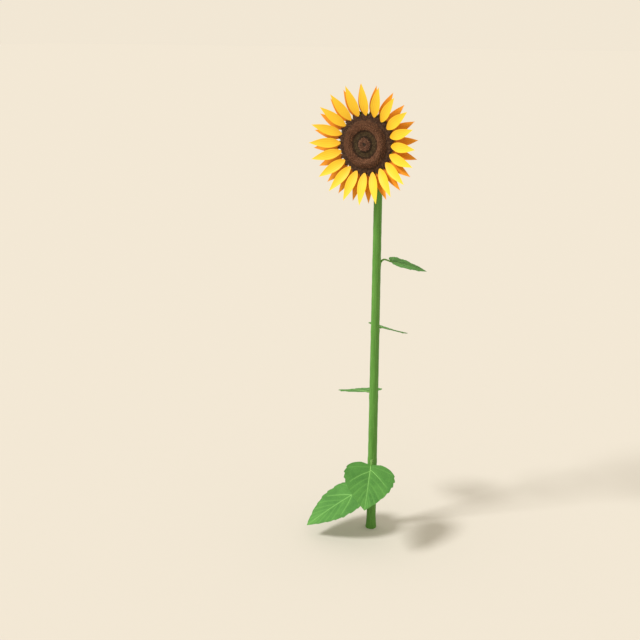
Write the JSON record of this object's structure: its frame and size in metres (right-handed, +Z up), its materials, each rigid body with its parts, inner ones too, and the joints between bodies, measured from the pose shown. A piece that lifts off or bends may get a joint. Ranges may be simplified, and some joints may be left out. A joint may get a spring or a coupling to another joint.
{
  "type": "sunflower plant",
  "caption": "Upright garden sunflower with a bent neck, a brown seed disc, yellow rays over orange ones, and toothed heart-shaped leaves on thin stalks.",
  "frame": {"origin": "centre of the stem's flat cut at ground level", "axes": "+Z up along the stem, -Y is the way that the flower looks, +X to the right as seen from in front of the flower"},
  "size_m": [0.3606, 0.4226, 1.4998],
  "materials": {
    "stem_skin": "matt green skin with fine lengthwise ribs and short hairs",
    "petiole_skin": "matt green skin with short hairs",
    "leaf_blade": "soft satin leaf, paler veins",
    "bract_green": "matt green with hairs",
    "ray_yellow": "silky petal with fine lengthwise pleats",
    "ray_orange": "silky petal with fine lengthwise pleats",
    "disc_florets": "rough brown florets set in crossing spirals"
  },
  "bodies": {
    "root": {"stem": "stem_skin", "neck": "stem_skin", "petiole_1": "petiole_skin", "petiole_2": "petiole_skin", "petiole_3": "petiole_skin", "petiole_4": "petiole_skin", "petiole_5": "petiole_skin", "leaf_1": "leaf_blade", "leaf_2": "leaf_blade", "leaf_3": "leaf_blade", "leaf_4": "leaf_blade", "leaf_5": "leaf_blade", "receptacle": "bract_green", "bract_collar": "bract_green", "seed_disc": "disc_florets", "ray_front_01": "ray_yellow", "ray_front_02": "ray_yellow", "ray_front_03": "ray_yellow", "ray_front_04": "ray_yellow", "ray_front_05": "ray_yellow", "ray_front_06": "ray_yellow", "ray_front_07": "ray_yellow", "ray_front_08": "ray_yellow", "ray_front_09": "ray_yellow", "ray_front_10": "ray_yellow", "ray_front_11": "ray_yellow", "ray_front_12": "ray_yellow", "ray_front_13": "ray_yellow", "ray_front_14": "ray_yellow", "ray_front_15": "ray_yellow", "ray_front_16": "ray_yellow", "ray_front_17": "ray_yellow", "ray_front_18": "ray_yellow", "ray_front_19": "ray_yellow", "ray_front_20": "ray_yellow", "ray_back_01": "ray_orange", "ray_back_02": "ray_orange", "ray_back_03": "ray_orange", "ray_back_04": "ray_orange", "ray_back_05": "ray_orange", "ray_back_06": "ray_orange", "ray_back_07": "ray_orange", "ray_back_08": "ray_orange", "ray_back_09": "ray_orange", "ray_back_10": "ray_orange", "ray_back_11": "ray_orange", "ray_back_12": "ray_orange", "ray_back_13": "ray_orange", "ray_back_14": "ray_orange", "ray_back_15": "ray_orange", "ray_back_16": "ray_orange", "ray_back_17": "ray_orange", "ray_back_18": "ray_orange", "ray_back_19": "ray_orange", "ray_back_20": "ray_orange"}
  },
  "joints": []
}
